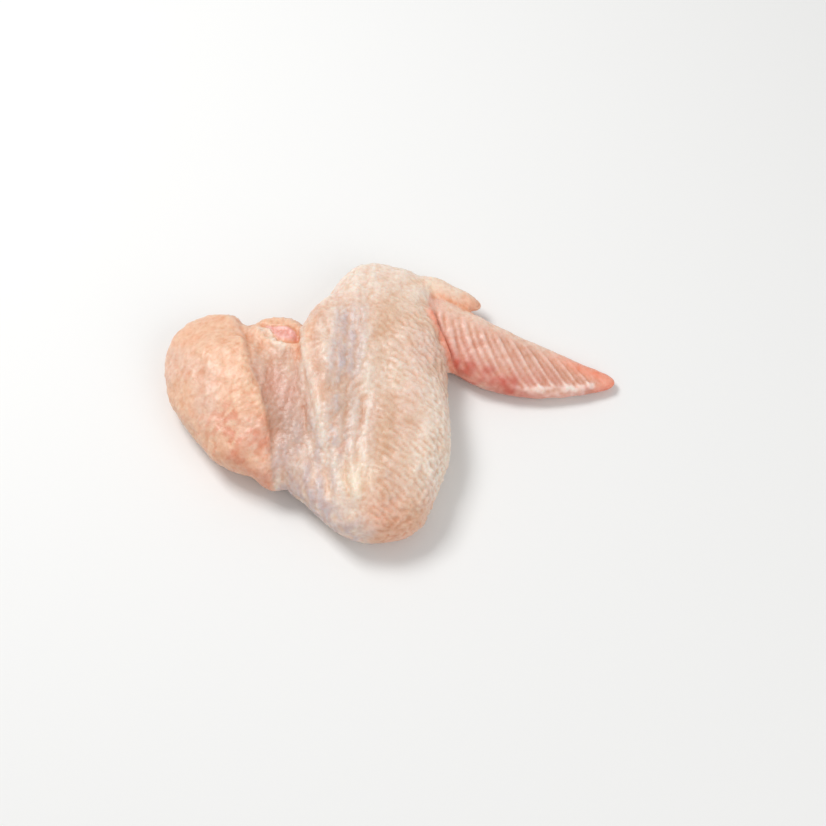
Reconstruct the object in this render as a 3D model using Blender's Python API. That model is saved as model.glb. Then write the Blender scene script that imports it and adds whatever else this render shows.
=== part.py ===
"""A raw whole chicken wing, lying with its outer side up.

The upper arm, forearm and hand are folded like a Z. Each is a sphere drawn out
along a curved spine, and so is each pad and fold of skin. They are fused into
one solid, softened, given the skin's folds and the hand's quill ridges, and
set down on the flat spots that the meat rests on. Metres, +Z up.
"""

import math

import bmesh
import bpy
import numpy as np
from mathutils import Vector, noise

# Driving dimensions: joint to joint along each bone, and how far the joints fold.
FOREARM = 0.0770
UPPER_ARM = 0.0690
HAND = 0.0785
FOREARM_BEARING = math.radians(83.5)
ELBOW_FOLD = math.radians(39.5)
WRIST_FOLD = math.radians(104.0)

# The relief in the skin.
QUILL_SPACING = 0.0052
QUILL_HEIGHT = 0.0008
TRAILING_RIM = 0.0007
FOLD_SPACING = 0.0058
FOLD_HEIGHT = 0.0004
MUSCLE_SWELL = 0.0016
SKIN_PUCKER = 0.0008
CUT_BEARING = math.radians(-28.0)
CUT_DEPTH = 0.0022
SKIN_EDGE = 0.0007
ELBOW_KNOB = 0.0012

# How far the meat's weight flattens it where it lies.
PRESSED = 0.0012

# How finely the wing is worked.
SIDES = 36
RINGS = 40
SQUARENESS = 0.86
VOXEL = 0.0009
TRIANGLES = 11800
SHARP_EDGE = math.radians(50.0)

SKIN_COLOUR = (0.74, 0.55, 0.42, 1.0)


def bearing(angle):
    """The unit vector in the table's plane that points along this angle from +X."""
    return Vector((math.cos(angle), math.sin(angle), 0.0))


ELBOW = Vector((0.0, 0.0, 0.0))
FOREARM_DIRECTION = bearing(FOREARM_BEARING)
UPPER_ARM_DIRECTION = bearing(FOREARM_BEARING + ELBOW_FOLD)
HAND_DIRECTION = bearing(FOREARM_BEARING - WRIST_FOLD)
WRIST = ELBOW + FOREARM_DIRECTION * FOREARM
SHOULDER = ELBOW + UPPER_ARM_DIRECTION * UPPER_ARM


def beside(start, direction, along, left, height):
    """The point so far along a bone, to its left, and above the table, in millimetres."""
    left_hand = Vector((-direction.y, direction.x, 0.0))
    point = start + direction * (along / 1000) + left_hand * (left / 1000)
    return Vector((point.x, point.y, height / 1000))


def forearm_line(*stations):
    return [beside(ELBOW, FOREARM_DIRECTION, *station) for station in stations]


def upper_arm_line(*stations):
    return [beside(ELBOW, UPPER_ARM_DIRECTION, *station) for station in stations]


def hand_line(*stations):
    return [beside(WRIST, HAND_DIRECTION, *station) for station in stations]


def along(values, share):
    """A smooth curve through evenly spaced values, read at a share of its length."""
    values = np.asarray(values, float)
    last = len(values) - 1
    place = min(max(share, 0.0), 1.0) * last
    first = min(int(place), last - 1)
    part = place - first
    before, here, there, after = (values[min(max(first + step, 0), last)] for step in (-1, 0, 1, 2))
    start_slope = (there - before) / 2
    end_slope = (after - here) / 2
    return (
        (2 * part**3 - 3 * part**2 + 1) * here
        + (part**3 - 2 * part**2 + part) * start_slope
        + (3 * part**2 - 2 * part**3) * there
        + (part**3 - part**2) * end_slope
    )


def drawn_out(name, spine, breadth, rise, sink, fullness=2.4, lean=0.0, roll=0.0):
    """A closed body along a spine, with its half sizes in millimetres.

    breadth is to each side, rise above the spine and sink below it. fullness is
    2 for the ends of an ellipsoid and more for blunter ones. lean makes the left
    edge thicker than the right one, and roll in degrees lowers it.
    """
    bm = bmesh.new()
    bmesh.ops.create_uvsphere(bm, u_segments=SIDES, v_segments=RINGS, radius=1.0)
    small_step = 0.01
    turned = math.radians(roll)
    for vert in bm.verts:
        share = (1 - vert.co.z) / 2
        swell = max(0.0, 1 - abs(2 * share - 1) ** fullness) ** (1 / fullness)
        angle = math.atan2(vert.co.y, vert.co.x)
        sideways = math.copysign(abs(math.cos(angle)) ** SQUARENESS, math.cos(angle))
        upward = math.copysign(abs(math.sin(angle)) ** SQUARENESS, math.sin(angle))
        ahead = along(spine, min(share + small_step, 1.0))
        behind = along(spine, max(share - small_step, 0.0))
        forward = Vector(ahead - behind).normalized()
        level = Vector((0, 0, 1)).cross(forward).normalized()
        left = level * math.cos(turned) - forward.cross(level) * math.sin(turned)
        above = forward.cross(left)
        height = along(rise if upward > 0 else sink, share) * (1 + lean * sideways)
        across = left * (along(breadth, share) * sideways)
        vert.co = Vector(along(spine, share)) + (across + above * (height * upward)) * (swell / 1000)
    bmesh.ops.recalc_face_normals(bm, faces=bm.faces)
    mesh = bpy.data.meshes.new(name)
    bm.to_mesh(mesh)
    bm.free()
    return bpy.data.objects.new(name, mesh)


def forearm():
    """The flat: two bones side by side under one broad domed back."""
    line = forearm_line(
        (-13, -5, 10),
        (8, -0.5, 11.5),
        (27, 1.5, 12),
        (46, 4, 12),
        (65, 6.5, 12),
        (92, 5, 11.5),
    )
    breadth = (22, 25.5, 24, 24.5, 25.5, 24)
    rise = (13, 14, 13.5, 13.5, 14, 13)
    sink = (10, 12, 9, 9, 12.5, 11.5)
    return drawn_out("forearm", line, breadth, rise, sink, 2.6)


def leading_fold():
    """The rolled skin along the forearm's leading edge, which laps over the upper arm."""
    line = forearm_line(
        (3, 10, 17),
        (14, 13, 18),
        (25, 16.3, 19),
        (36, 19, 19.5),
        (47, 21.5, 19.5),
        (57, 22, 19),
        (66, 20, 18),
        (81, 10.5, 14),
    )
    breadth = (5, 7.5, 8.4, 8.8, 9.5, 10, 10, 9)
    rise = (5, 6.5, 7, 7.5, 7.5, 7.5, 7, 7)
    sink = (10, 12, 12, 12, 12, 12, 13, 10)
    return drawn_out("leading_fold", line, breadth, rise, sink, 3)


def upper_arm():
    """The drumette, thickest near the shoulder and blunt where it was cut."""
    line = upper_arm_line((-10, 1, 10), (12, 2, 11.5), (33, 3, 12), (54, 2, 12.5), (79, -2, 12.5))
    breadth = (14, 17, 18, 19, 18)
    rise = (10, 10, 8.5, 9, 9)
    sink = (9, 10.5, 10.5, 12.5, 12.5)
    return drawn_out("upper_arm", line, breadth, rise, sink, 3.6)


def elbow_web():
    """The thin skin and meat that fill the fold between upper arm and forearm."""
    line = upper_arm_line((14, -8, 12), (30, -13, 13), (46, -15, 13), (65, -16, 12))
    return drawn_out("elbow_web", line, (7, 9, 10, 10), (7, 6.5, 6.5, 6.5), (7, 7, 7, 7), 3)


def shoulder_flap():
    """The fatty skin left on the body side of the shoulder, a lobe that lies down."""
    line = upper_arm_line(
        (22, 22, 10),
        (32, 22, 12),
        (42.5, 22.5, 13),
        (54.5, 22, 13.5),
        (67, 20.5, 13.5),
        (79, 15.5, 13),
        (88.5, 5, 12),
    )
    breadth = (6, 9, 13, 16, 18.5, 19, 16)
    rise = (5, 8, 9.5, 10, 10, 10, 9)
    sink = (8, 9, 9, 10, 11.5, 11.5, 10)
    return drawn_out("shoulder_flap", line, breadth, rise, sink, 2.6, roll=17)


def hand():
    """The wing's tip: a blade with a straight thick leading edge and a curved thin trailing one."""
    line = hand_line(
        (0, -3, 11),
        (13, -3.5, 9.5),
        (26, -4.8, 8),
        (39, -6.2, 6.8),
        (52, -5, 5.6),
        (65, -2.6, 4.8),
        (HAND * 1000 + 1.5, 1.6, 4),
    )
    breadth = (12, 13.6, 12.4, 12, 11.2, 9.2, 7)
    rise = (8, 7.5, 6.4, 5.4, 4.6, 4, 3.2)
    sink = (7, 6.5, 6, 5.4, 5, 4.6, 3.8)
    return drawn_out("hand", line, breadth, rise, sink, 2.2, lean=0.22)


def wrist_web():
    """The slack skin inside the bend of the wrist."""
    line = hand_line((6, -12, 9), (15, -14, 8.5), (24, -13.5, 7))
    return drawn_out("wrist_web", line, (6, 6, 4.5), (6.5, 6, 4.5), (6, 5.5, 4.5))


def thumb():
    """The small pointed thumb beyond the wrist."""
    line = hand_line((-4, 6, 12), (5, 8.5, 11.5), (15, 10.5, 10), (27, 12, 8))
    return drawn_out("thumb", line, (6, 6.5, 5, 3.6), (5, 4.5, 3.6, 2.8), (5, 4.5, 3.6, 2.8), 2.2)


def evaluated_mesh(obj):
    bpy.context.view_layer.update()
    return bpy.data.meshes.new_from_object(obj.evaluated_get(bpy.context.evaluated_depsgraph_get()))


def fused(bodies):
    """One even mesh of all the bodies, by a Boolean union on their collection."""
    first, *others = bodies
    gathered = bpy.data.collections.new("gathered")
    bpy.context.scene.collection.children.link(gathered)
    bpy.context.scene.collection.objects.link(first)
    for body in others:
        gathered.objects.link(body)
    union = first.modifiers.new("union", "BOOLEAN")
    union.operation = "UNION"
    union.operand_type = "COLLECTION"
    union.collection = gathered
    union.solver = "EXACT"
    even_skin = first.modifiers.new("even_skin", "REMESH")
    even_skin.mode = "VOXEL"
    even_skin.voxel_size = VOXEL
    mesh = evaluated_mesh(first)
    for body in bodies:
        bpy.data.objects.remove(body)
    bpy.data.collections.remove(gathered)
    return mesh


def softened(mesh, factor, repeat):
    bm = bmesh.new()
    bm.from_mesh(mesh)
    for _ in range(repeat):
        bmesh.ops.smooth_vert(
            bm, verts=bm.verts, factor=factor, use_axis_x=True, use_axis_y=True, use_axis_z=True
        )
    bm.to_mesh(mesh)
    bm.free()


def vectors(collection, name):
    """Every item's vector of this name, as rows of an array."""
    values = np.empty(len(collection) * 3)
    collection.foreach_get(name, values)
    return values.reshape(-1, 3)


def ramp(values, low, high):
    """0 below low and 1 above high, with a smooth rise between."""
    share = np.clip((values - low) / (high - low), 0, 1)
    return share * share * (3 - 2 * share)


def hill(values, middle, reach):
    return np.exp(-(((values - middle) / reach) ** 2))


def from_bone(points, start, direction):
    """How far along a bone and to its left each point lies, in millimetres."""
    offset = (points[:, :2] - np.array(start)[:2]) * 1000
    return offset @ np.array(direction)[:2], offset @ np.array((-direction.y, direction.x))


def noise_at(points, size):
    """Smooth random lumps of about this size."""
    return np.array([noise.noise(Vector(point) / size) for point in points])


def quill_ridges(points):
    """Ridges that slant back from the hand's leading edge, more so towards the tip."""
    ahead, left = from_bone(points, WRIST, HAND_DIRECTION)
    from_edge = 4.5 - left
    start = ahead
    for _ in range(3):
        slant = 0.35 + 0.02 * np.clip(start - 10, 0, 60)
        start = ahead - slant * from_edge
    ridge = (0.5 + 0.5 * np.cos(2 * math.pi * start / (QUILL_SPACING * 1000))) ** 2 - 0.4
    trailing = np.interp(ahead, (20, 35, 48, 56, 63, 71, 79), (-15.5, -17.5, -16.4, -14.2, -11.2, -6.6, -1))
    on_hand = ramp(ahead, 13, 18) * ramp(start, 4, 9) * (1 - ramp(start, 56, 63))
    between_edges = ramp(from_edge, 2.5, 7) * ramp(left - trailing, 1.5, 4)
    rim = hill(left - trailing, 1.2, 1.5) * ramp(ahead, 30, 40)
    return QUILL_HEIGHT * ridge * on_hand * between_edges + TRAILING_RIM * rim


def slack_folds(points):
    """Long shallow folds beside the elbow, along the forearm."""
    ahead, left = from_bone(points, ELBOW, FOREARM_DIRECTION)
    wander = 3 * noise_at(points, 0.017)
    fold = np.cos(2 * math.pi * (left - 0.12 * ahead + wander) / (FOLD_SPACING * 1000))
    where = ramp(left, -3, 3) * (1 - ramp(left, 17, 23)) * ramp(ahead, -8, 0) * (1 - ramp(ahead, 24, 42))
    return FOLD_HEIGHT * fold * where * (0.7 + noise_at(points + 1, 0.012))


def shoulder_cut(points):
    """The hollow where the joint was cut through, with the skin's near edge beside it."""
    offset = (points[:, :2] - beside(SHOULDER, UPPER_ARM_DIRECTION, 0, -6.5, 0).xy) * 1000
    across = offset @ np.array(bearing(CUT_BEARING).xy)
    beyond = offset @ np.array(bearing(CUT_BEARING + math.pi / 2).xy)
    away = np.sqrt((across / 8) ** 2 + (beyond / 4.8) ** 2)
    bowl = -CUT_DEPTH * np.sqrt(np.clip(1 - away**2, 0, 1))
    skin_edge = SKIN_EDGE * hill(away, 1.2, 0.25) * ramp(-beyond, 0, 3)
    return bowl + skin_edge


def elbow_knob(points):
    ahead, left = from_bone(points, ELBOW, FOREARM_DIRECTION)
    return ELBOW_KNOB * np.exp(-(((ahead + 2.5) ** 2 + (left + 2.3) ** 2) / 4.2**2))


def in_relief(mesh):
    """Moves the skin in and out along its normals."""
    points = vectors(mesh.vertices, "co")
    normals = vectors(mesh.vertex_normals, "vector")
    facing_up = ramp(normals[:, 2], 0.05, 0.5)
    shown = quill_ridges(points) + slack_folds(points) + shoulder_cut(points) + elbow_knob(points)
    pucker = noise_at(points, 0.0065) * SKIN_PUCKER
    swell = noise_at(points, 0.019) * MUSCLE_SWELL
    bulk = ramp(points[:, 2], 0.004, 0.012)
    points += normals * (shown * facing_up + pucker * bulk + swell * bulk)[:, None]
    mesh.vertices.foreach_set("co", points.ravel())
    mesh.update()


def thinned(mesh):
    """The mesh with fewer triangles, most of them where it curves."""
    carrier = bpy.data.objects.new("carrier", mesh)
    bpy.context.scene.collection.objects.link(carrier)
    mesh.calc_loop_triangles()
    fewer = carrier.modifiers.new("fewer", "DECIMATE")
    fewer.ratio = TRIANGLES / len(mesh.loop_triangles)
    fewer.use_collapse_triangulate = True
    result = evaluated_mesh(carrier)
    bpy.data.objects.remove(carrier)
    return result


def laid_down(mesh):
    """Centres the wing on the origin, with its lowest parts pressed flat at Z = 0."""
    points = vectors(mesh.vertices, "co")
    points[:, 2] = np.maximum(points[:, 2] - PRESSED, 0.0)
    points[:, :2] -= (points[:, :2].min(0) + points[:, :2].max(0)) / 2
    mesh.vertices.foreach_set("co", points.ravel())
    mesh.update()


def skin_material():
    material = bpy.data.materials.new("raw_skin")
    material.use_nodes = True
    shader = material.node_tree.nodes["Principled BSDF"]
    shader.inputs["Base Color"].default_value = SKIN_COLOUR
    shader.inputs["Roughness"].default_value = 0.38
    shader.inputs["Subsurface Weight"].default_value = 0.15
    return material


def main():
    for obj in list(bpy.data.objects):
        bpy.data.objects.remove(obj)
    bodies = [
        forearm(),
        leading_fold(),
        upper_arm(),
        elbow_web(),
        shoulder_flap(),
        hand(),
        wrist_web(),
        thumb(),
    ]
    mesh = fused(bodies)
    softened(mesh, 0.5, 12)
    in_relief(mesh)
    mesh = thinned(mesh)
    laid_down(mesh)
    mesh.shade_smooth()
    mesh.set_sharp_from_angle(angle=SHARP_EDGE)
    mesh.materials.append(skin_material())
    wing = bpy.data.objects.new("wing", mesh)
    bpy.context.scene.collection.objects.link(wing)


main()
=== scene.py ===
"""The looks of a raw chicken wing: thin moist skin over meat, with its goose bumps,
slack wrinkles, quill ridges, fat under the skin and the pink flesh of the shoulder's cut."""

import math

import bmesh
import bpy
import numpy as np
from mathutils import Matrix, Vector, noise


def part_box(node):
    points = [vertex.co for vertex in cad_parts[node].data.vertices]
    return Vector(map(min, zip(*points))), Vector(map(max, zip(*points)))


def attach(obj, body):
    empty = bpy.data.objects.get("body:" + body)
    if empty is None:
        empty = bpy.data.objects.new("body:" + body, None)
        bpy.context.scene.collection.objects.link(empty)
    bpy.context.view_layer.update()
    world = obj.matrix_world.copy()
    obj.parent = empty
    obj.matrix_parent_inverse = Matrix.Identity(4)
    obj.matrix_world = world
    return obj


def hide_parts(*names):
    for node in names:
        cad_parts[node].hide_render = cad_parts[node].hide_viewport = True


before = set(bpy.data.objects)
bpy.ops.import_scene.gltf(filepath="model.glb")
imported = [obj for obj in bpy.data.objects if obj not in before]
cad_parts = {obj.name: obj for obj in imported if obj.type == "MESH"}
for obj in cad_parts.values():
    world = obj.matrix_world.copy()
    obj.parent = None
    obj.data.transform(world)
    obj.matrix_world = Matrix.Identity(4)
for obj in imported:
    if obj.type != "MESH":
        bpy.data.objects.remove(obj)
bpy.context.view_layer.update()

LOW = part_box("wing")[0]

# The elbow, from the solid's near left corner, the bones' lengths in metres, and the bearings
# of the bones, of the grain in the skin and of the shoulder's cut.
ELBOW = np.array((LOW[0] + 0.0726, LOW[1] + 0.0129))
FOREARM = 0.0770
UPPER_ARM = 0.0690
FOREARM_BEARING = math.radians(83.5)
UPPER_ARM_BEARING = math.radians(123.0)
HAND_BEARING = math.radians(-20.5)
WRINKLE_BEARING = math.radians(-36.0)
FLAP_BEARING = math.radians(42.0)
CUT_BEARING = math.radians(-28.0)

# How finely the skin is worked, in metres, and how often it is smoothed.
SKIN_GRAIN = 0.00055
MERGE_DISTANCE = 0.00001
SMOOTHING_ROUNDS = 5

# How many rings of neighbours count as the surface round a crease, a ridge, a hollow and a dent.
CREASE_RINGS = 20
RIDGE_RINGS = 24
HOLLOW_RINGS = 30
DENT_RINGS = 5

# How much crisper the creases are made, and the relief in the skin, in millimetres.
CREASE_SHARPENING = 0.35
QUILL_SPACING = 5.2
QUILL_HEIGHT = 0.60
WRINKLE_SPACING = 2.4
BUMP_HEIGHT = 0.27
FLAP_BUMP_HEIGHT = 0.24

# The shoulder's cut: how far right of the bone its middle lies, in metres, then its half
# widths, that of the flesh in it, and how far the flesh fills it, in millimetres.
CUT_OFFSET = 0.0065
CUT_REACH = (7.6, 4.6)
FLESH_REACH = 6.8
FLESH_FILLING = 1.8

# Lines on the skin, as places along a bone and distances to its left, in millimetres. The
# flap's edge goes by the upper arm, the next two by the forearm, and the last by the hand.
FLAP_EDGE = ((24.1, 24.6), (37.3, 16.9), (45.2, 13.8), (54, 11.3), (59.3, 10.8), (73.9, 4.9))
FOLD_EDGE = (
    (-12, 0), (-3.8, 7), (2.7, 12.8), (13, 17.5), (22.3, 20.9), (33.1, 25.1),
    (44.4, 29.1), (56.1, 32.4), (66, 30.5), (80, 24), (92, 14),
)
MIDDLE_LINE = ((0, -1), (6.7, -0.4), (24.4, 1.8), (46.8, 5.9), (63, 7.2), (78.7, 7.8))
TRAILING_EDGE = (
    (20, -15.5), (35, -17.5), (48, -16.4), (56, -14.2), (63, -11.2), (71, -6.6), (79, -1),
)

# The wrist's fold runs across the hand, so here the distance to the left comes first.
WRIST_FOLD = (
    (-21, 29), (-17.7, 26.3), (-14.7, 22.5), (-9, 17.8), (-6.6, 15.1), (-2.5, 11.4), (4, 9),
)

# The camera looks down on the wing as on the photographed one.
CAMERA_ELEVATION = math.radians(62.0)
CAMERA_DISTANCE = 0.663
CAMERA_LENS = 85.0
LOOK_AT = Vector((0.0078, -0.0066, 0.012))


def shade(red, green, blue):
    """A colour given as 0 to 255 display values, as the linear values that shaders take."""
    values = np.array((red, green, blue)) / 255
    return np.where(values <= 0.04045, values / 12.92, ((values + 0.055) / 1.055) ** 2.4)


CREAM_SKIN = shade(242, 226, 211)
BEIGE_SKIN = shade(231, 203, 183)
TAN_SKIN = shade(216, 176, 144)
ROSE_SKIN = shade(232, 200, 186)
LILAC_SKIN = shade(207, 187, 184)
PEACH_SKIN = shade(237, 190, 158)
THUMB_SKIN = shade(243, 216, 194)
THUMB_AMBER = shade(240, 152, 104)
AMBER_SKIN = shade(228, 156, 116)
# a brown-pink skin tone, deepened with painted shade for the drumette's valley
BROWN_PINK_SKIN_AND_SHADE = shade(204, 160, 140)
# painted shade: a dark reddish brown that stands in for the shade in the drumette's valley
VALLEY_SHADE = shade(180, 142, 126)
HAND_SKIN = shade(232, 186, 168)
FURROW_SKIN = shade(208, 142, 124)
QUILL_SKIN = shade(250, 220, 208)
RED_SKIN = shade(202, 102, 84)
TIP_RED = shade(252, 148, 116)
LIP_RED = shade(240, 134, 102)
FAT = shade(246, 228, 198)
FLESH = shade(238, 178, 168)
BLUSH_RED = shade(216, 112, 90)

# No part of the skin throws back more of the light than this.
BRIGHTEST = 0.92


def direction(bearing):
    """The step of one unit at this bearing, seen from above."""
    return np.array((math.cos(bearing), math.sin(bearing)))


WRIST = ELBOW + direction(FOREARM_BEARING) * FOREARM


def from_bone(points, start, bearing):
    """How far along a bone and to its left each point lies, in millimetres."""
    offset = (points[:, :2] - start) * 1000
    ahead = direction(bearing)
    return offset @ ahead, offset @ np.array((-ahead[1], ahead[0]))


def ramp(values, low, high):
    """0 below low and 1 above high, with a smooth rise between."""
    share = np.clip((values - low) / (high - low), 0, 1)
    return share * share * (3 - 2 * share)


def within(values, low, high, soft):
    """1 between low and high, falling to 0 over a soft edge on each side."""
    return ramp(values, low - soft, low + soft) * (1 - ramp(values, high - soft, high + soft))


def hill(values, middle, reach):
    """1 at the middle, falling off softly on both sides over about this reach."""
    return np.exp(-(((values - middle) / reach) ** 2))


def patch(ahead, left, middle, reach):
    """A soft oval patch, 1 at its middle, with its two half widths."""
    return np.exp(-(((ahead - middle[0]) / reach[0]) ** 2 + ((left - middle[1]) / reach[1]) ** 2))


def line_at(values, stations):
    """Where a line through (place, distance) stations lies at each of the values."""
    places, distances = zip(*stations)
    return np.interp(values, places, distances)


def stretched(points, bearing, width, length):
    """Points in units of a width and of a length, in millimetres, along a bearing."""
    ahead = direction(bearing)
    along = points[:, :2] @ ahead * (1000 / length)
    across = points[:, :2] @ np.array((-ahead[1], ahead[0])) * (1000 / width)
    return np.stack((along, across, points[:, 2] * (1000 / width)), 1)


def soft_noise(places):
    """Smooth random lumps, one or so in each unit of space, from -1 to 1."""
    return np.array([noise.noise(Vector(place)) for place in places])


def noise_at(points, size, seed):
    """Smooth random lumps of this size in millimetres, from -1 to 1."""
    return soft_noise(points * (1000 / size) + seed)


def lumps(places):
    """Round tops set close together, one in each unit of space: 1 at the top and 0 between them."""
    distances = np.array([noise.voronoi(Vector(place))[0][0] for place in places])
    return 1 - ramp(distances, 0.05, 0.7)


def wander(points, size, reach):
    """Points moved about at random by up to this reach, so that what is read at them meanders."""
    moved = points.copy()
    moved[:, 0] += noise_at(points, size, seed=11.3) * reach / 1000
    moved[:, 1] += noise_at(points, size, seed=47.9) * reach / 1000
    return moved


def vectors(collection, name):
    """Every item's vector of this name, as rows of an array."""
    values = np.empty(len(collection) * 3)
    collection.foreach_get(name, values)
    return values.reshape(-1, 3)


def evaluated_mesh(obj):
    """A mesh of the object with its modifiers applied."""
    bpy.context.view_layer.update()
    return bpy.data.meshes.new_from_object(obj.evaluated_get(bpy.context.evaluated_depsgraph_get()))


def even_skin():
    """The solid's surface, rounded and made even and fine enough to carry the skin's relief."""
    bm = bmesh.new()
    bm.from_mesh(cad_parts["wing"].data)
    bmesh.ops.remove_doubles(bm, verts=bm.verts, dist=MERGE_DISTANCE)
    rough = bpy.data.meshes.new("rough")
    bm.to_mesh(rough)
    bm.free()
    carrier = bpy.data.objects.new("carrier", rough)
    bpy.context.scene.collection.objects.link(carrier)
    rounded = carrier.modifiers.new("rounded", "SUBSURF")
    rounded.levels = 1
    rounded.render_levels = 1
    even = carrier.modifiers.new("even", "REMESH")
    even.mode = "VOXEL"
    even.voxel_size = SKIN_GRAIN
    mesh = evaluated_mesh(carrier)
    bpy.data.objects.remove(carrier)
    bm = bmesh.new()
    bm.from_mesh(mesh)
    for _ in range(SMOOTHING_ROUNDS):
        bmesh.ops.smooth_vert(
            bm, verts=bm.verts, factor=0.5, use_axis_x=True, use_axis_y=True, use_axis_z=True
        )
    bm.to_mesh(mesh)
    bm.free()
    mesh.name = "skin"
    return mesh


class Neighbours:
    """Which points of a mesh are joined by an edge, to average values over them."""

    def __init__(self, mesh):
        ends = np.empty(len(mesh.edges) * 2, dtype=np.int64)
        mesh.edges.foreach_get("vertices", ends)
        self.first, self.second = ends.reshape(-1, 2).T
        self.total = len(mesh.vertices)
        self.count = np.bincount(ends, minlength=self.total)

    def spread(self, values, rings):
        """The values evened out over this many rings of neighbours."""
        columns = values.reshape(self.total, -1).T.copy()
        for _ in range(rings):
            for column in columns:
                gathered = np.bincount(self.first, column[self.second], self.total)
                gathered += np.bincount(self.second, column[self.first], self.total)
                column[:] = gathered / self.count
        return columns.T.reshape(values.shape)

    def depth(self, points, normals, rings):
        """How deep each point lies below the evened surface, in millimetres."""
        return ((self.spread(points, rings) - points) * normals).sum(1) * 1000


class Places:
    """Where each point of the skin lies on the wing."""

    def __init__(self, points, normals):
        self.points = points
        self.up = ramp(normals[:, 2], 0.0, 0.45)
        self.outer = ramp(normals[:, 2], -0.35, 0.05)
        self.bulk = ramp(points[:, 2], 0.003, 0.010)
        self.forearm, self.forearm_left = from_bone(points, ELBOW, FOREARM_BEARING)
        self.arm, self.arm_left = from_bone(points, ELBOW, UPPER_ARM_BEARING)
        self.hand, self.hand_left = from_bone(points, WRIST, HAND_BEARING)
        self.find_hand()
        self.find_skin_edges()
        self.find_cut()

    def find_hand(self):
        """The hand past the wrist's fold, with its rolled lip, its thumb and its pale rim."""
        self.past_wrist_fold = self.hand - line_at(self.hand_left, WRIST_FOLD)
        self.lip = within(self.hand_left, -18.5, -1, 2.0) * self.outer
        self.on_hand = ramp(self.past_wrist_fold - 2.2 * self.lip, -0.4, 0.8)
        self.on_hand *= ramp(self.hand_left, -30, -26)
        self.on_thumb = ramp(self.hand_left, 5.2, 7) * ramp(self.hand, 0, 7)
        self.on_thumb *= 1 - ramp(self.hand, 25, 29)
        self.from_trailing = self.hand_left - line_at(self.hand, TRAILING_EDGE)
        self.on_rim = ramp(self.hand, 42, 58) * (1 - ramp(self.hand, 71, 78))
        self.on_rim *= self.on_hand * self.outer

    def find_skin_edges(self):
        """The forearm inside its fold's edge, the flap past its own, and the drumette between."""
        self.past_flap_edge = self.arm_left - line_at(self.arm, FLAP_EDGE)
        self.inside_fold_edge = line_at(self.forearm, FOLD_EDGE) - self.forearm_left
        edge_softness = 0.6 + 5 * (1 - ramp(self.forearm, 0, 16))
        self.on_flat = ramp(self.inside_fold_edge / edge_softness, -1, 1)
        self.on_flat = np.maximum(self.on_flat, ramp(-self.arm_left, 15, 19)) * (1 - self.on_hand)
        self.on_flap = ramp(self.past_flap_edge, -0.8, 0.8) * ramp(self.arm, 14, 24)
        self.on_flap *= 1 - self.on_flat
        self.on_drumette = np.clip(1 - self.on_flat - self.on_flap - self.on_hand, 0, 1)
        self.left_of_middle = self.forearm_left - line_at(self.forearm, MIDDLE_LINE)
        self.left_side = self.on_flat * ramp(self.left_of_middle, -3, 3) * self.bulk
        self.right_side = self.on_flat * ramp(-self.left_of_middle, -3, 3) * self.bulk
        low_half = 0.35 + 0.65 * (1 - ramp(self.forearm, 12, 40))
        wrist_side = patch(self.forearm, self.forearm_left, (56, -9), (14, 9))
        self.wrinkled = self.right_side * np.clip(low_half + wrist_side, 0, 1)
        self.wrinkled *= 1 - 0.6 * ramp(self.forearm, 64, 74)

    def find_cut(self):
        """The shoulder's cut, the flesh in it, narrower on the left, and its ragged near edge."""
        shoulder = ELBOW + direction(UPPER_ARM_BEARING) * UPPER_ARM
        cut = shoulder - direction(UPPER_ARM_BEARING + math.pi / 2) * CUT_OFFSET
        across, beyond = from_bone(self.points, cut, CUT_BEARING)
        self.beyond_cut = beyond
        self.from_cut = np.sqrt((across / CUT_REACH[0]) ** 2 + (beyond / CUT_REACH[1]) ** 2)
        self.in_cut = (1 - ramp(self.from_cut, 0.6, 1.05)) * self.up
        flesh_width = 1.2 + 2.5 * ramp(across, -6, 2)
        self.from_flesh = np.sqrt((across / FLESH_REACH) ** 2 + (beyond / flesh_width) ** 2)
        self.flesh = (1 - ramp(self.from_flesh, 0.85, 1.1)) * self.up
        self.cut_edge = hill(beyond, -0.5 - 1.3 * flesh_width, 1.4) * within(across, -8, 6, 1.5)
        self.cut_edge *= ramp(-beyond, -0.8, 1.2) * self.up


def quill_ridges(places):
    """Crests that slant back from the hand's leading edge, more so towards the tip.

    Near the wrist a smaller crest stands between each two."""
    from_edge = 4.5 - places.hand_left
    start = places.hand
    for _ in range(3):
        slant = 0.35 + 0.028 * np.clip(start - 10, 0, 60)
        start = places.hand - slant * from_edge
    turn = 2 * math.pi * start / QUILL_SPACING
    crest = (0.5 + 0.5 * np.cos(turn)) ** 3
    between = (0.5 - 0.5 * np.cos(turn)) ** 4
    crest += (1 - 0.65 * ramp(start, 10, 34)) * between
    where = ramp(places.hand, 11, 15) * ramp(start, 1, 5) * (1 - ramp(start, 60, 66))
    where *= ramp(from_edge, 1.0, 8) * ramp(places.from_trailing, 0.0, 3)
    return crest, where * places.on_hand * places.up


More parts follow.
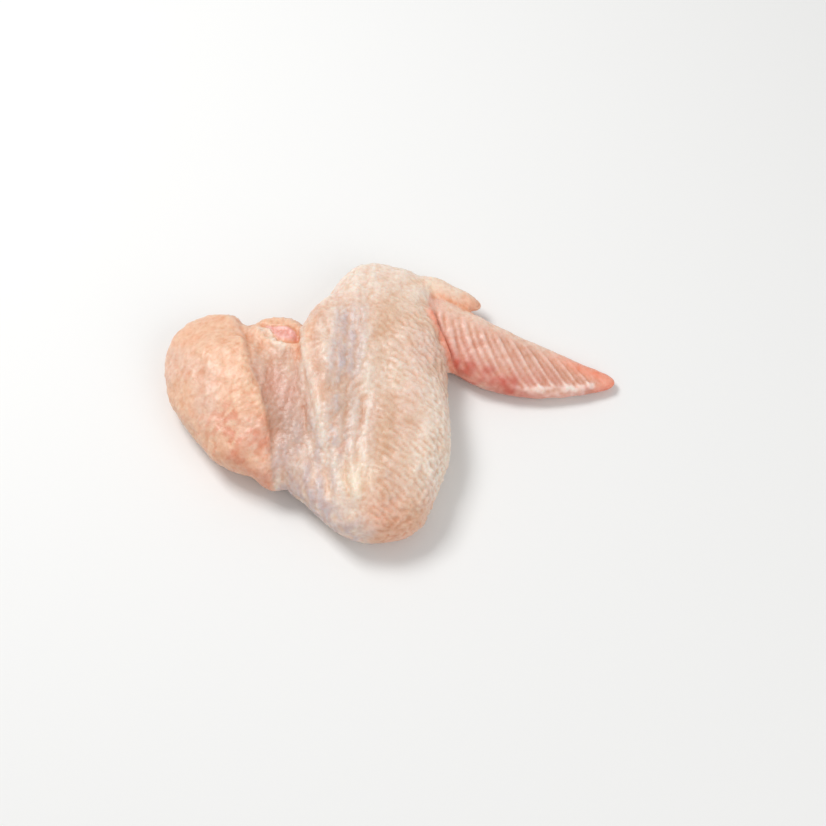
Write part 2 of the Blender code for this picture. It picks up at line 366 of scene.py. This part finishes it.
class Texture:
    """The patterns of the skin, each read once at every point."""

    def __init__(self, points):
        loose = wander(points, size=6, reach=1.0)
        self.broad = noise_at(points, size=16, seed=21.0)
        self.middling = noise_at(points, size=6, seed=31.0)
        self.small = noise_at(points, size=2.6, seed=41.0)
        self.fine = noise_at(points, size=1.4, seed=71.0)
        self.bumps = lumps(stretched(loose, FOREARM_BEARING, width=1.6, length=2.2))
        self.slanted_bumps = lumps(stretched(loose, WRINKLE_BEARING, width=1.5, length=2.8))
        self.flap_bumps = lumps(stretched(loose, FLAP_BEARING, width=1.7, length=3.0))

        # each stretched noise has a shift of its own, so that no two run alike
        wrinkle = stretched(loose, WRINKLE_BEARING, width=1.25, length=5.0)
        wrinkle_bundle = stretched(loose, WRINKLE_BEARING, width=2.6, length=9.0)
        streak = stretched(loose, FOREARM_BEARING + 0.05, width=1.3, length=3.6)
        streak_bundle = stretched(loose, FOREARM_BEARING + 0.03, width=2.8, length=13.0)
        blush = stretched(loose, FLAP_BEARING, width=2.2, length=4.5)
        self.wrinkle = soft_noise(wrinkle + 3.0)
        self.wrinkle_bundle = soft_noise(wrinkle_bundle + 4.0)
        self.streak = soft_noise(streak + 5.0)
        self.streak_bundle = soft_noise(streak_bundle + 6.0)
        self.blush = ramp(soft_noise(blush + 9.0), -0.05, 0.4)

        # rows of wrinkles that waver, and that fade out here and there
        rows_across = stretched(points, WRINKLE_BEARING, width=WRINKLE_SPACING, length=1.0)[:, 1]
        wavering = rows_across + 0.9 * noise_at(points, size=5, seed=13.0)
        self.rows = np.cos(2 * math.pi * wavering)
        self.rows *= 0.3 + 0.7 * ramp(noise_at(points, size=8, seed=17.0), -0.25, 0.25)


def skin_relief(places, texture, crest, on_quills):
    """How far the skin stands out at each point, in millimetres."""
    shown = places.up * places.bulk
    uneven = 0.9 + 0.4 * texture.middling + 0.2 * texture.small
    height = QUILL_HEIGHT * crest * on_quills * uneven
    wrinkles = 0.16 * texture.rows + 0.55 * texture.wrinkle + 0.34 * texture.wrinkle_bundle
    height += places.wrinkled * wrinkles
    height += BUMP_HEIGHT * texture.slanted_bumps * places.right_side
    height += places.left_side * (0.14 * texture.streak + 0.30 * texture.streak_bundle)
    height += BUMP_HEIGHT * texture.bumps * (places.left_side + places.on_drumette)
    drumette = places.on_drumette * places.bulk
    height += drumette * (0.16 * texture.streak + 0.28 * texture.streak_bundle)
    flap_swells = 0.12 * texture.small + 0.35 * texture.middling
    flap = places.on_flap * places.bulk
    height += flap * (FLAP_BUMP_HEIGHT * texture.flap_bumps + flap_swells)
    height += places.on_hand * (0.14 * texture.small + 0.10 * texture.bumps)

    # the edges of the flap and of the forearm's fold stand up, with a groove beside them
    flap_length = within(places.arm, 22, 76, 3) * (1 - places.on_flat)
    beads = 0.25 + 0.45 * texture.bumps + 0.3 * texture.small
    height += shown * flap_length * beads * hill(places.past_flap_edge, 1.8, 1.6)
    height -= shown * flap_length * 0.5 * hill(places.past_flap_edge, -1.0, 1.4)
    fold_length = within(places.forearm, 18, 60, 8)
    height += shown * fold_length * 0.35 * hill(places.inside_fold_edge, 1.8, 1.6)
    height -= shown * fold_length * 0.5 * hill(places.inside_fold_edge, -0.9, 1.0)

    # the rolled lip at the wrist, and the hand's rim
    rolled = places.lip * ramp(places.hand_left, -17, -12)
    height += rolled * (0.9 + 0.4 * texture.small) * hill(places.past_wrist_fold, 1.0, 1.2)
    height -= rolled * 0.7 * hill(places.past_wrist_fold, 3.0, 0.9)
    height += places.on_rim * hill(places.from_trailing, 1.4, 1.6) * (0.2 + 0.6 * texture.small)

    # flesh fills the shoulder's cut, and skin rises round it
    height += places.in_cut * FLESH_FILLING
    far_skin = hill(places.from_cut, 0.95, 0.35) * ramp(places.beyond_cut, -0.5, 2.0) * places.up
    height += far_skin * (0.7 + 0.3 * texture.small)
    height += places.cut_edge * (0.3 + 0.5 * texture.bumps)
    height -= 0.4 * hill(places.from_flesh, 1.05, 0.18) * places.up
    return height * ramp(places.points[:, 2], 0.0, 0.0025)


class Paint:
    """A colour at every point, laid on in thin coats."""

    def __init__(self, total, tone):
        self.colour = np.tile(tone, (total, 1))

    def lay(self, tone, share):
        """A coat of this tone covers what is below it as far as the share goes."""
        self.colour += (tone - self.colour) * np.clip(share, 0, 1)[:, None]

    def turn(self, factors, share):
        """Each of red, green and blue is multiplied by its factor, as far as the share goes."""
        self.colour *= 1 + (np.array(factors) - 1) * np.clip(share, 0, 1)[:, None]


def paint_flat(paint, places, texture):
    """The forearm: streaked cream, lilac and rose on its left, tan and cream on its right."""
    forearm = (places.forearm, places.forearm_left)
    flat = places.on_flat
    paint.lay(CREAM_SKIN, places.left_side * (0.3 + 0.9 * texture.streak_bundle))
    lilac_band = within(places.forearm_left, 10, 20, 3) * within(places.forearm, 8, 70, 8)
    lilac_streaks = 0.6 + 0.9 * texture.streak_bundle + 0.5 * texture.streak
    paint.lay(LILAC_SKIN, places.left_side * lilac_band * lilac_streaks)
    by_ridge = hill(places.inside_fold_edge, 4.5, 2.6) * within(places.forearm, 24, 66, 6)
    paint.lay(PEACH_SKIN, flat * by_ridge * (0.45 + 0.6 * texture.middling))
    # brown-pink streaks by the ridge, in a skin tone that carries some painted shade
    paint.lay(BROWN_PINK_SKIN_AND_SHADE, flat * by_ridge * (0.5 + 0.6 * texture.streak_bundle))
    paint.lay(AMBER_SKIN, 0.5 * patch(*forearm, (32, 22.5), (3.0, 1.5)) * flat)
    paint.lay(CREAM_SKIN, 0.6 * flat * ramp(places.forearm, 64, 82))
    paint.lay(TAN_SKIN, 0.6 * patch(*forearm, (65, 3.5), (12, 5)) * flat)
    low_right = places.right_side * (1 - ramp(places.forearm, 30, 60))
    paint.lay(TAN_SKIN, low_right * (0.25 + 0.5 * texture.middling))
    paint.lay(CREAM_SKIN, 0.45 * patch(*forearm, (42, -2), (9, 7)) * flat)
    paint.lay(TAN_SKIN, 0.75 * patch(*forearm, (20, -1.5), (16, 4)) * flat)
    paint.lay(TAN_SKIN, 0.5 * patch(*forearm, (24, 12), (10, 2)) * flat)
    paint.lay(CREAM_SKIN, 0.25 * patch(*forearm, (34, 7), (13, 2.4)) * flat)
    right_flank = ramp(-places.forearm_left, 8, 17) * within(places.forearm, 3, 46, 7)
    paint.lay(CREAM_SKIN, 0.8 * flat * right_flank)
    paint.lay(AMBER_SKIN, 0.5 * patch(*forearm, (-9, -7), (8, 13)) * flat)
    paint.lay(CREAM_SKIN, 0.5 * patch(*forearm, (19, 20), (12, 5)))
    paint.lay(FAT, 0.55 * patch(*forearm, (0, 8), (9, 7)))
    fat_spots = ramp(noise_at(places.points, size=3.4, seed=61.0), 0.2, 0.45)
    paint.lay(AMBER_SKIN, 0.4 * fat_spots * patch(*forearm, (14, 14), (11, 6)) * flat)
    # the forearm's crown is painted a little darker than its sides
    paint.turn((0.87, 0.86, 0.85), 0.9 * patch(*forearm, (34, 10), (27, 11)) * flat)


def paint_upper_arm(paint, places, texture):
    """The drumette, with painted shade making it darkest in the valley under the fold, then the
    flap, then the cut.
    """
    arm = (places.arm, places.arm_left)
    drumette = places.on_drumette
    # the drumette's upper part is brown pink, partly skin tone and partly painted shade from the
    # valley
    brown_streaks = 0.65 - 0.5 * texture.streak_bundle
    paint.lay(BROWN_PINK_SKIN_AND_SHADE, drumette * brown_streaks * ramp(places.arm, 20, 44))
    lilac_end = 1 - ramp(places.arm, 24, 42)
    paint.lay(LILAC_SKIN, drumette * lilac_end * (0.6 + 0.9 * texture.streak_bundle))
    paint.lay(CREAM_SKIN, drumette * lilac_end * (0.05 - 0.9 * texture.streak_bundle))
    # painted shade darkens the drumette's reddish-brown skin in the valley under the fold and by
    # the flap
    paint.lay(VALLEY_SHADE, 0.6 * patch(*arm, (39, 10), (13, 6)) * drumette)
    paint.lay(VALLEY_SHADE, 0.45 * patch(*arm, (23, 17), (8, 6)) * drumette)
    paint.lay(RED_SKIN, 0.25 * patch(*arm, (52, 6), (9, 5)) * drumette)
    paint.lay(PEACH_SKIN, 0.6 * drumette * ramp(places.arm, 60, 68))
    by_fold = hill(places.inside_fold_edge, -1.6, 1.6) * within(places.arm, 54, 63, 2)
    paint.lay(AMBER_SKIN, 0.7 * by_fold * drumette)
    along_fold = hill(places.inside_fold_edge, -0.2, 1.8) * within(places.forearm, 8, 46, 6)
    paint.lay(CREAM_SKIN, 0.6 * along_fold)
    paint.lay(PEACH_SKIN, 0.85 * places.on_flap)
    paint.lay(ROSE_SKIN, 0.4 * places.on_flap * ramp(texture.broad, -0.1, 0.4))
    flap_low = 1 - ramp(places.arm, 30, 54)
    paint.lay(AMBER_SKIN, places.on_flap * (0.25 * texture.blush + 0.25 * flap_low))
    paint.lay(RED_SKIN, places.on_flap * 0.30 * flap_low * ramp(texture.middling, -0.3, 0.4))
    paint.lay(BLUSH_RED, 0.4 * texture.blush * patch(*arm, (45, 26), (12, 9)) * places.on_flap)
    paint.lay(PEACH_SKIN, 0.8 * (1 - ramp(places.from_cut, 1.2, 1.7)) * (1 - places.on_flat))
    paint.lay(FLESH, places.flesh)
    paint.lay(AMBER_SKIN, 0.4 * hill(places.from_flesh, 1.05, 0.15) * places.up)
    paint.lay(CREAM_SKIN, 0.75 * places.cut_edge)


def paint_hand(paint, places, texture, crest, on_quills):
    """The hand, its furrows and red edges, its pale rim, the thumb and the lip at the wrist."""
    hand = places.on_hand
    paint.lay(HAND_SKIN, hand)
    paint.lay(FURROW_SKIN, on_quills * (0.55 - 0.55 * crest + 0.5 * texture.middling))
    paint.lay(TAN_SKIN, 0.4 * on_quills * (1 - crest) * ramp(places.hand_left, -9, 0))
    paint.lay(QUILL_SKIN, 0.30 * on_quills * ramp(crest, 0.3, 1.0) * (0.9 + 0.6 * texture.small))
    leading = hill(places.hand_left, 4.0, 3.0) * ramp(places.hand, 10, 18)
    paint.lay(THUMB_SKIN, 0.6 * hand * leading)
    low_edge = 1 - ramp(places.from_trailing, 2, 9)
    red_stretch = within(places.hand, 18, 54, 6)
    paint.lay(RED_SKIN, 0.8 * hand * low_edge * red_stretch * (0.75 + 0.9 * texture.small))
    tip_end = ramp(places.hand, 70, 80)
    tip_front = ramp(places.hand, 50, 70) * ramp(places.hand_left, -4, 2)
    paint.lay(TIP_RED, 0.8 * hand * np.maximum(tip_end, tip_front))
    rim = hill(places.from_trailing, 1.6, 1.6 + 0.9 * crest) * places.on_rim
    mottling = 0.85 + 1.2 * texture.small + 0.6 * texture.fine
    paint.lay(QUILL_SKIN, 0.75 * ramp(rim, 0.1, 0.9) * mottling)
    red_edge = hill(places.from_trailing, -1.1, 1.1) * ramp(places.hand, 40, 52)
    paint.lay(RED_SKIN, 0.7 * hand * red_edge)
    paint.lay(RED_SKIN, 0.5 * patch(places.hand, places.hand_left, (71.4, -5.5), (1.6, 0.9)))
    thumb = places.on_thumb
    paint.lay(THUMB_SKIN, 0.9 * thumb)
    by_hand = hill(places.hand_left, 6.5, 2.4) * ramp(places.hand, 7, 15)
    paint.lay(THUMB_AMBER, 0.65 * thumb * by_hand)
    paint.lay(THUMB_AMBER, 0.5 * thumb * ramp(places.hand, 17, 24))
    paint.lay(LIP_RED, 0.78 * places.lip * hill(places.past_wrist_fold, 1.0, 1.7))
    # painted shade in the groove past the lip, in the red of the fold
    paint.lay(RED_SKIN, 0.3 * places.lip * hill(places.past_wrist_fold, 3.0, 0.8))


def skin_colours(places, texture, crest, on_quills, hollow, dent):
    """Each point's colour by where it lies, with painted shade and highlight by its depth, in
    millimetres.
    """
    paint = Paint(len(hollow), BEIGE_SKIN)
    paint.lay(ROSE_SKIN, 0.4 + 0.9 * texture.broad)
    paint.lay(TAN_SKIN, 0.3 * ramp(texture.middling, 0.0, 0.5))
    paint_flat(paint, places, texture)
    paint_upper_arm(paint, places, texture)
    paint_hand(paint, places, texture, crest, on_quills)
    # painted shade makes hollows and dents darker and redder, and painted highlight makes what
    # stands out paler
    paint.turn((0.95, 0.84, 0.77), ramp(hollow, 0.1, 0.9))
    paint.turn((0.92, 0.78, 0.74), ramp(hollow, 0.7, 1.8))
    paint.turn((0.94, 0.82, 0.74), 0.8 * ramp(dent, 0.0, 0.12))
    paint.turn((1.03, 1.08, 1.11), 0.8 * ramp(-dent, 0.0, 0.12))
    # random mottling, darker and paler by turns
    paint.turn((0.96, 0.89, 0.84), ramp(-texture.small, 0.0, 0.5))
    paint.turn((0.97, 0.93, 0.90), ramp(-texture.fine, 0.0, 0.4))
    paint.turn((1.02, 1.05, 1.06), ramp(texture.fine, 0.0, 0.4))
    return np.clip(paint.colour, 0, BRIGHTEST)


def make_skin():
    """The one visible piece: the solid's surface with relief, colours and a moist finish."""
    mesh = even_skin()
    neighbours = Neighbours(mesh)
    points = vectors(mesh.vertices, "co")

    # the solid's creases are made crisper, and its broad quill ridges calmer
    points += CREASE_SHARPENING * (points - neighbours.spread(points, CREASE_RINGS))
    mesh.vertices.foreach_set("co", points.ravel())
    mesh.update()
    normals = vectors(mesh.vertex_normals, "vector")
    places = Places(points, normals)
    crest, on_quills = quill_ridges(places)
    calming = 0.9 * places.on_hand * ramp(places.hand, 10, 15) * places.up
    calming *= ramp(points[:, 2], 0.002, 0.005)
    points += normals * (neighbours.depth(points, normals, RIDGE_RINGS) * calming)[:, None] / 1000

    texture = Texture(points)
    points += normals * skin_relief(places, texture, crest, on_quills)[:, None] / 1000
    mesh.vertices.foreach_set("co", points.ravel())
    mesh.update()
    normals = vectors(mesh.vertex_normals, "vector")
    hollow = neighbours.depth(points, normals, HOLLOW_RINGS)
    dent = neighbours.depth(points, normals, DENT_RINGS)
    colours = skin_colours(places, texture, crest, on_quills, hollow, dent)
    tint = mesh.attributes.new("tint", "FLOAT_COLOR", "POINT")
    tint.data.foreach_set("color", np.hstack((colours, np.ones((len(points), 1)))).ravel())

    skin = bpy.data.objects.new("skin", mesh)
    bpy.context.scene.collection.objects.link(skin)
    mesh.shade_smooth()
    mesh.materials.clear()
    mesh.materials.append(skin_material())
    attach(skin, "root")
    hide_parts("wing")


def skin_material():
    """Moist skin: the painted tint with pores, shinier in places, which lets in a little light."""
    material = bpy.data.materials.new("raw_skin")
    material.use_nodes = True
    nodes = material.node_tree.nodes
    links = material.node_tree.links
    shader = nodes["Principled BSDF"]
    tint = nodes.new("ShaderNodeAttribute")
    tint.attribute_name = "tint"
    place = nodes.new("ShaderNodeTexCoord")
    pores = nodes.new("ShaderNodeTexNoise")
    pores.inputs["Scale"].default_value = 1000.0
    pores.inputs["Detail"].default_value = 3.0
    links.new(place.outputs["Object"], pores.inputs["Vector"])
    wetness = nodes.new("ShaderNodeTexNoise")
    wetness.inputs["Scale"].default_value = 160.0
    links.new(place.outputs["Object"], wetness.inputs["Vector"])
    gloss = nodes.new("ShaderNodeMapRange")
    gloss.inputs["From Min"].default_value = 0.3
    gloss.inputs["From Max"].default_value = 0.7
    gloss.inputs["To Min"].default_value = 0.34
    gloss.inputs["To Max"].default_value = 0.55
    links.new(wetness.outputs["Fac"], gloss.inputs["Value"])
    links.new(gloss.outputs["Result"], shader.inputs["Roughness"])
    pits = nodes.new("ShaderNodeMapRange")
    pits.inputs["From Min"].default_value = 0.50
    pits.inputs["From Max"].default_value = 0.34
    pits.inputs["To Max"].default_value = 0.40
    links.new(pores.outputs["Fac"], pits.inputs["Value"])
    pitted = nodes.new("ShaderNodeMix")
    pitted.data_type = "RGBA"
    pitted.blend_type = "MULTIPLY"
    pitted.inputs["B"].default_value = (0.92, 0.76, 0.68, 1.0)
    links.new(pits.outputs["Result"], pitted.inputs["Factor"])
    links.new(tint.outputs["Color"], pitted.inputs["A"])
    links.new(pitted.outputs["Result"], shader.inputs["Base Color"])
    bump = nodes.new("ShaderNodeBump")
    bump.inputs["Strength"].default_value = 0.6
    bump.inputs["Distance"].default_value = 0.0004
    links.new(pores.outputs["Fac"], bump.inputs["Height"])
    links.new(bump.outputs["Normal"], shader.inputs["Normal"])
    shader.inputs["Subsurface Weight"].default_value = 0.2
    shader.inputs["Subsurface Radius"].default_value = (1.0, 0.4, 0.25)
    shader.inputs["Subsurface Scale"].default_value = 0.0015
    shader.inputs["Coat Weight"].default_value = 0.15
    shader.inputs["Coat Roughness"].default_value = 0.25
    return material


def floor():
    """A wide plain pale floor at the level that the wing lies on."""
    bm = bmesh.new()
    bmesh.ops.create_grid(bm, x_segments=1, y_segments=1, size=2.0)
    mesh = bpy.data.meshes.new("floor")
    bm.to_mesh(mesh)
    bm.free()
    plane = bpy.data.objects.new("floor", mesh)
    bpy.context.scene.collection.objects.link(plane)
    material = bpy.data.materials.new("pale_floor")
    material.use_nodes = True
    shader = material.node_tree.nodes["Principled BSDF"]
    shader.inputs["Base Color"].default_value = (0.86, 0.86, 0.85, 1.0)
    shader.inputs["Roughness"].default_value = 0.7
    mesh.materials.append(material)


def soft_light(name, place, size, power):
    """A square studio light that points at the wing."""
    lamp = bpy.data.lights.new(name, "AREA")
    lamp.size = size
    lamp.energy = power
    holder = bpy.data.objects.new(name, lamp)
    holder.location = place
    holder.rotation_euler = (-Vector(place)).to_track_quat("-Z", "Y").to_euler()
    bpy.context.scene.collection.objects.link(holder)


def studio():
    """Even white light from all round, a key light from the far left and a fill from the right."""
    world = bpy.data.worlds.new("studio")
    world.use_nodes = True
    world.node_tree.nodes["Background"].inputs["Color"].default_value = (1.0, 1.0, 1.0, 1.0)
    world.node_tree.nodes["Background"].inputs["Strength"].default_value = 0.46
    bpy.context.scene.world = world
    bpy.context.scene.view_settings.view_transform = "Standard"
    soft_light("key", place=(-0.34, 0.26, 0.66), size=0.30, power=3.6)
    soft_light("fill", place=(0.42, -0.45, 0.50), size=0.6, power=1.7)


def camera():
    """A long lens that looks down on the wing from the front."""
    lens = bpy.data.cameras.new("camera")
    lens.lens = CAMERA_LENS
    lens.sensor_width = 36.0
    holder = bpy.data.objects.new("camera", lens)
    back = Vector((0.0, -math.cos(CAMERA_ELEVATION), math.sin(CAMERA_ELEVATION)))
    holder.location = LOOK_AT + back * CAMERA_DISTANCE
    holder.rotation_euler = (-back).to_track_quat("-Z", "Y").to_euler()
    bpy.context.scene.collection.objects.link(holder)
    bpy.context.scene.camera = holder


make_skin()
floor()
studio()
camera()
